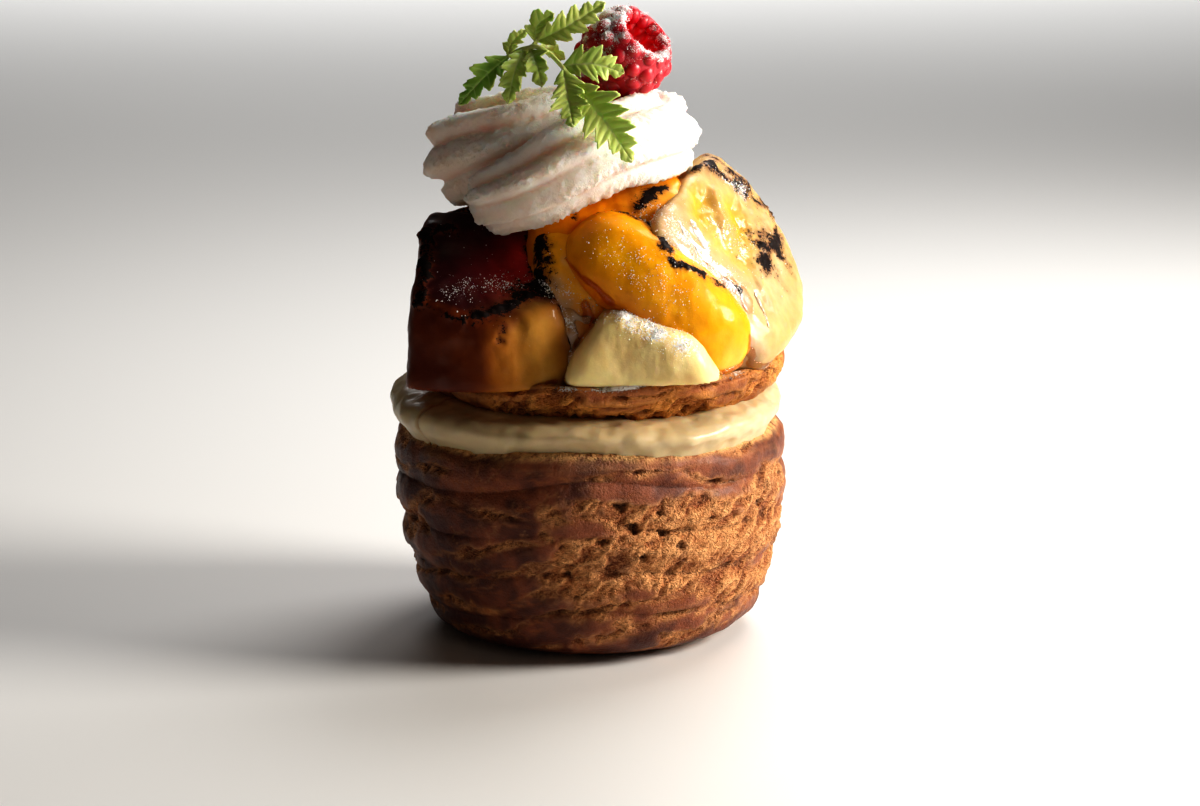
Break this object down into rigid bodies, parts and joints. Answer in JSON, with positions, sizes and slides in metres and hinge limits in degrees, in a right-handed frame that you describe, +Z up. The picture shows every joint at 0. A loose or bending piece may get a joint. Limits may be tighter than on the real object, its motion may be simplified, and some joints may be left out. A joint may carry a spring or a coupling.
{
  "type": "choux bun",
  "caption": "Tall filled choux bun: crusty shell full of custard, choux lid heaped with torched glazed fruit, a piped cream swirl, a raspberry and a herb sprig.",
  "frame": {"origin": "centre of the flat foot that the bun stands on", "axes": "+Z up, -Y to the front that is shown, +X to its right"},
  "size_m": [0.082, 0.0779, 0.1259],
  "materials": {
    "choux": "dry baked crust",
    "custard": "smooth and moist",
    "fruit": "torched and glazed",
    "whipped_cream": "soft, slightly grainy",
    "raspberry": "juicy, dusted with icing sugar",
    "chervil": "fresh leaf"
  },
  "bodies": {
    "root": {"choux_shell": "choux", "custard": "custard", "choux_lid": "choux", "fruit_right": "fruit", "fruit_centre": "fruit", "fruit_left": "fruit", "fruit_front": "fruit", "fruit_middle": "fruit", "fruit_top": "fruit", "fruit_back_left": "fruit", "fruit_back_right": "fruit", "whipped_cream": "whipped_cream", "raspberry": "raspberry", "chervil": "chervil"}
  },
  "joints": []
}
